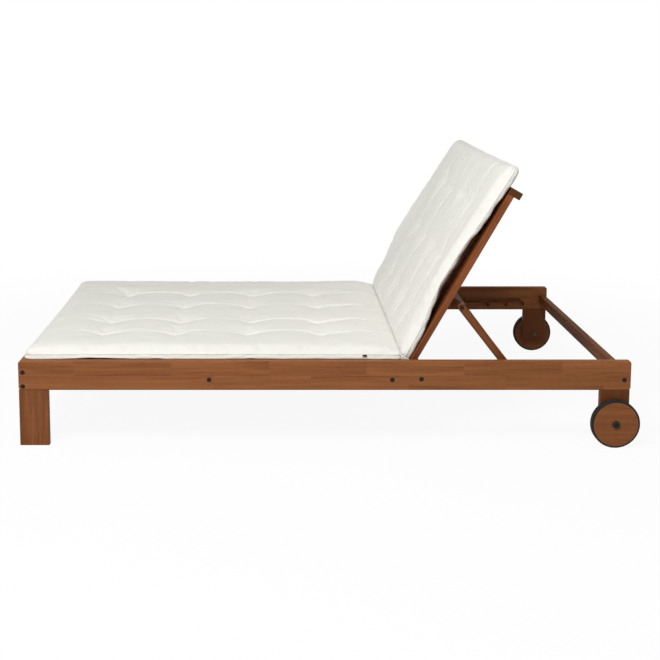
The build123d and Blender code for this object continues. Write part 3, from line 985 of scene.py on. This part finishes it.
class LOUNGER_OT_add_seat_cushion(bpy.types.Operator):
    """Sew and fill the seat cushion"""

    bl_idname = "lounger.add_seat_cushion"
    bl_label = "Add the Seat Cushion"

    def execute(self, context):
        low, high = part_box("seat_cushion")
        middle = (low + high) / 2
        foot = rail_low.x - middle.x
        pad = Pad("seat_pad", low, high, context.scene.lounger_cushions)
        pad.stations = [rail_low.x + station - middle.x for station in (0.242, 0.490, 0.738, 0.986)]
        pad.roll, pad.tuck, pad.corner = 0.018, -0.35, 0.034
        pad.side_overhang, pad.end_overhang = -0.004, -0.005
        pad.crease_roll, pad.crease_corner, pad.crease_reach_out = 0.005, 0.003, 0.001
        pad.crease_drop, pad.crease_reach = 0.009, 0.085
        pad.crown, pad.tuft_depth = 0.0015, pad.shape.tuft_depth
        pad.creasing, pad.wrinkling, pad.gathering = 1.0, 0.0006, 0.0012
        # How strong the creases are, row by row from the near side: before, between and after the tufts.
        pad.strengths = (
            (0.7, 0.7, 0.25, 0.7, 0.6),
            (0.6, 0.6, 0.35, 1.0, 0.8),
            (0.4, 0.5, 0.7, 0.3, 0.6),
            (0.4, 0.9, 0.7, 0.5, 0.3),
        )
        # Short folds that run out from the tufts: where each starts and ends, and its strength.
        folds = (
            (0.153, 0.475, 0.240, 0.310, 0.7),
            (0.754, 0.315, 0.809, 0.447, 0.5),
            (0.066, 0.393, 0.197, 0.320, 0.4),
            (0.138, 0.125, 0.232, 0.080, 0.4),
            (0.126, -0.110, 0.240, -0.183, 0.5),
            (0.810, 0.227, 0.880, 0.178, 0.5),
            (0.530, -0.044, 0.623, 0.023, 0.5),
            (0.531, -0.287, 0.640, -0.206, 0.6),
            (0.970, 0.312, 1.089, 0.335, 0.4),
        )
        pad.folds = [
            (foot + start, row, foot + end, end_row, strength)
            for start, row, end, end_row, strength in folds
        ]

        def edge_lift(u, from_side, side):
            """No curl, and how far a side's underside hangs clear of the slats, most near the foot end."""
            loose = bell(u + 0.37, 0.09) * 0.0040
            gaps = np.clip(np.sin(u * 23.0 + side) + 0.6 * np.sin(u * 61.0) - 0.9, 0.0, 0.7) * 0.0034
            return 0.0 * u, (loose + gaps) * bell(from_side, 0.03)

        pad.edge_lift = edge_lift
        cloth = canvas("seat_canvas", context.scene.lounger_canvas)
        pad.build(Matrix.Translation((middle.x, 0.0, low.z)), "frame", "seat_cushion", cloth)
        return {"FINISHED"}


class LOUNGER_OT_add_back_cushion(bpy.types.Operator):
    """Sew and fill the cushion that leans on the backrest"""

    bl_idname = "lounger.add_back_cushion"
    bl_label = "Add the Back Cushion"

    def execute(self, context):
        low, high = lying_box("back_cushion")
        middle = (low.x + high.x) / 2
        pad = Pad("back_pad", low, high, context.scene.lounger_cushions)
        pad.stations = [station - middle for station in (0.150, 0.360, 0.570)]
        pad.crease_side = -1.0
        pad.roll, pad.tuck, pad.corner = 0.021, 0.7, 0.044
        pad.side_overhang, pad.end_overhang = 0.001, 0.0
        pad.crease_roll, pad.crease_corner, pad.crease_reach_out = 0.004, 0.012, 0.0
        pad.crease_drop, pad.crease_reach = 0.003, 0.070
        pad.crown, pad.tuft_depth = 0.002, pad.shape.tuft_depth * 0.55
        pad.creasing, pad.wrinkling, pad.gathering = 0.42, 0.0018, 0.0026
        pad.strengths = (
            (0.2, 0.6, 0.35, 0.05),
            (0.3, 0.8, 0.5, 0.05),
            (0.5, 0.9, 0.6, 0.1),
            (0.2, 0.6, 0.3, 0.1),
        )
        pad.folds = [
            (-0.20, -0.30, -0.10, -0.25, 0.5),
            (-0.12, 0.13, -0.03, 0.19, 0.6),
            (0.02, -0.28, 0.12, -0.22, 0.7),
            (0.08, 0.15, 0.16, 0.20, 0.6),
            (-0.25, 0.02, -0.16, 0.05, 0.4),
        ]
        # Places up the cushion, and how far its sides curl away from the slats there.
        places = np.array([0.034, 0.141, 0.221, 0.289, 0.411, 0.551, 0.681, 0.745]) - middle
        clearances = [0.0, 0.004, 0.023, 0.034, 0.032, 0.015, 0.005, 0.0]

        def edge_lift(u, from_side, side):
            """How far a side curls away from the slats, with its front and with its underside alone."""
            lift = np.interp(u, places, clearances) * bell(from_side, 0.085)
            scallops = 0.0018 * np.sin(u * 41.0 + side) + 0.0011 * np.sin(u * 97.0)
            return 0.62 * lift, 0.38 * lift + scallops * np.minimum(lift / 0.01, 1.0)

        pad.edge_lift = edge_lift
        cloth = canvas("back_canvas", context.scene.lounger_canvas, leaning, pivot)
        matrix = Matrix.Translation(pivot) @ lean @ Matrix.Translation((middle, 0.0, low.z))
        pad.build(matrix, "back_pad", "back_cushion", cloth)
        return {"FINISHED"}


class LOUNGER_OT_add_crease_gusset(bpy.types.Operator):
    """Fill the corner under the back cushion with the roll of canvas that joins the cushions"""

    bl_idname = "lounger.add_crease_gusset"
    bl_label = "Add the Crease Gusset"

    def execute(self, context):
        low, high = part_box("seat_cushion")
        back_low, _ = lying_box("back_cushion")
        seat_gap, floor_gap, back_gap = 0.0012, 0.0003, 0.0008
        width = 1.238
        start, floor = high.x + seat_gap, low.z + floor_gap
        along = (start - pivot.x) * math.cos(backrest_angle)
        top = pivot.z + (back_low.x - back_gap - along) / math.sin(backrest_angle)
        end = start + (top - floor) * math.tan(backrest_angle)
        deselect_all()
        bpy.ops.mesh.primitive_cube_add(
            size=1.0,
            location=((start + end) / 2, 0.0, (floor + top) / 2),
            scale=(end - start, width, top - floor),
        )
        gusset = bpy.context.object
        gusset.name = "crease_gusset"
        apply_place()
        points = coordinates(gusset)
        far_top = (points[:, 0] > end - 0.0001) & (points[:, 2] > top - 0.0001)
        pick(gusset, vertices=lambda vertex: far_top[vertex.index])
        bpy.ops.transform.translate(value=(0.0, 0.0, floor - top))
        bpy.ops.mesh.select_all(action="SELECT")
        bpy.ops.mesh.remove_doubles(threshold=0.0001)
        bpy.ops.mesh.bevel(offset=0.0007, segments=3, affect="EDGES")
        stop_editing()
        finish_mesh(gusset, 60.0)
        gusset.data.materials.append(canvas("gusset_canvas", context.scene.lounger_canvas))
        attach(gusset, "frame")
        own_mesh(gusset)
        return {"FINISHED"}


class LOUNGER_OT_add_zip_pull(bpy.types.Operator):
    """Hang the zip's slider and pull tab on the seat cushion's near seam"""

    bl_idname = "lounger.add_zip_pull"
    bl_label = "Add the Zip Pull"

    def execute(self, context):
        low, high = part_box("seat_cushion")
        parts = []
        # The tab and the slider: length, thickness, height and place along the seam.
        rows = ((0.0120, 0.0014, 0.0052, 0.0), (0.0050, 0.0024, 0.0040, -0.0070))
        for length, thickness, height, aside in rows:
            deselect_all()
            bpy.ops.mesh.primitive_cube_add(
                size=1.0, location=(aside, -thickness / 2, 0.0), scale=(length, thickness, height)
            )
            part = bpy.context.object
            apply_place()
            pick(part, edges=lambda edge: abs(np.subtract(*edge_ends(part, edge))[1]) > thickness * 0.9)
            bpy.ops.mesh.bevel(offset=height * 0.45, segments=5, affect="EDGES")
            stop_editing()
            pick(part, faces=lambda face: face.normal.y < -0.99)
            bpy.ops.mesh.inset(thickness=height * 0.2, depth=-thickness * 0.25)
            stop_editing()
            parts.append(part)
        pull = joined(parts, "zip_pull")
        pull.location = (0.119, low.y + 0.0002, low.z + (high.z - low.z) * 0.40)
        finish_mesh(pull)
        pull.data.materials.append(metal("blackened_steel_zip", context.scene.lounger_hardware.steel, 0.45))
        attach(pull, "frame")
        return {"FINISHED"}


# Studio


class LOUNGER_OT_add_stage(bpy.types.Operator):
    """Add the pale floor, the soft light, the even light from all round and the camera"""

    bl_idname = "lounger.add_stage"
    bl_label = "Add the Stage"

    def execute(self, context):
        studio = context.scene.lounger_studio
        self.add_floor(studio)
        self.add_key_light(studio)
        self.add_surroundings(context, studio)
        self.add_camera(context)
        return {"FINISHED"}

    def add_floor(self, studio):
        deselect_all()
        bpy.ops.mesh.primitive_plane_add(size=60.0, location=zero)
        floor = bpy.context.object
        floor.name = "studio_floor"
        paint = Finish(bpy.data.materials.new("studio_floor"))
        along, across, _ = paint.axes(paint.place())
        distance = paint.math("SQRT", along * along + across * across)
        share = distance.step(1.4, 3.2) * 0.07 + 0.93
        plain = paint.node("ShaderNodeBsdfDiffuse", {"Color": opaque(studio.floor)})
        glow = paint.node("ShaderNodeEmission", {"Color": opaque(white), "Strength": 1.0})
        both = paint.node("ShaderNodeMixShader", {0: paint.seen() * share, 1: plain, 2: glow})
        paint.node("ShaderNodeOutputMaterial", {"Surface": both})
        floor.data.materials.append(paint.owner)

    def add_key_light(self, studio):
        place, target = Vector((-1.6, -3.6, 5.0)), Vector((0.0, 0.0, 0.2))
        deselect_all()
        bpy.ops.object.light_add(type="AREA", location=place)
        lamp = bpy.context.object
        lamp.name = "key_light"
        lamp.data.shape = "RECTANGLE"
        lamp.data.size, lamp.data.size_y = 3.0, 2.4
        lamp.data.energy = studio.key
        lamp.rotation_euler = (target - place).to_track_quat("-Z", "Y").to_euler()

    def add_surroundings(self, context, studio):
        """Even light from all round, and a white backdrop where it is seen."""
        sky = Finish(bpy.data.worlds.new("studio"))
        light = sky.node("ShaderNodeBackground", {"Color": opaque(white), "Strength": studio.sky})
        backdrop = sky.node("ShaderNodeBackground", {"Color": opaque(white), "Strength": 1.0})
        both = sky.node("ShaderNodeMixShader", {0: sky.seen(), 1: light, 2: backdrop})
        sky.node("ShaderNodeOutputWorld", {"Surface": both})
        context.scene.world = sky.owner

    def add_camera(self, context):
        """The camera that the photograph's perspective gives."""
        bpy.ops.object.camera_add(
            location=(-0.1762, -4.6123, 1.2749), rotation=(math.radians(82.0), 0.0, 0.0)
        )
        camera = bpy.context.object
        camera.name = "photograph"
        camera.data.sensor_width, camera.data.lens = 36.0, 68.79
        camera.data.shift_x, camera.data.shift_y = 0.0845, -0.1568
        camera.data.clip_end = 100.0
        context.scene.camera = camera
        context.scene.view_settings.view_transform = "Standard"


class LOUNGER_PT_panel(bpy.types.Panel):
    """The lounger's pieces and settings"""

    bl_idname = "LOUNGER_PT_panel"
    bl_label = "Double Chaise Lounger"
    bl_space_type = "VIEW_3D"
    bl_region_type = "UI"
    bl_category = "Lounger"

    def draw(self, context):
        for title, settings, group, operators in sections:
            box = self.layout.box()
            box.label(text=title)
            for name in group.__annotations__:
                box.prop(getattr(context.scene, settings), name)
            for operator in operators:
                box.operator(operator.bl_idname)


# Each section of the panel: its title, the name and group of its settings, and its operators.
sections = (
    ("Wood", "lounger_wood", LoungerWoodFinish, (LOUNGER_OT_finish_wood, LOUNGER_OT_finish_wheels)),
    (
        "Hardware",
        "lounger_hardware",
        LoungerHardwareFinish,
        (LOUNGER_OT_add_rail_screws, LOUNGER_OT_add_bolts),
    ),
    ("Canvas", "lounger_canvas", LoungerCanvasFinish, ()),
    (
        "Cushions",
        "lounger_cushions",
        LoungerCushionShape,
        (
            LOUNGER_OT_add_seat_cushion,
            LOUNGER_OT_add_back_cushion,
            LOUNGER_OT_add_crease_gusset,
            LOUNGER_OT_add_zip_pull,
        ),
    ),
    ("Studio", "lounger_studio", LoungerStudio, (LOUNGER_OT_add_stage,)),
)


def register():
    for _, settings, group, operators in sections:
        for item in (group, *operators):
            bpy.utils.register_class(item)
        setattr(bpy.types.Scene, settings, PointerProperty(type=group))
    bpy.utils.register_class(LOUNGER_PT_panel)


def unregister():
    bpy.utils.unregister_class(LOUNGER_PT_panel)
    for _, settings, group, operators in reversed(sections):
        delattr(bpy.types.Scene, settings)
        for item in (*operators, group):
            bpy.utils.unregister_class(item)


def main():
    register()
    bpy.ops.lounger.add_stage()
    bpy.ops.lounger.finish_wood()
    bpy.ops.lounger.finish_wheels()
    bpy.ops.lounger.add_rail_screws()
    bpy.ops.lounger.add_bolts()
    bpy.ops.lounger.add_seat_cushion()
    bpy.ops.lounger.add_back_cushion()
    bpy.ops.lounger.add_crease_gusset()
    bpy.ops.lounger.add_zip_pull()


if __name__ == "__main__":
    main()
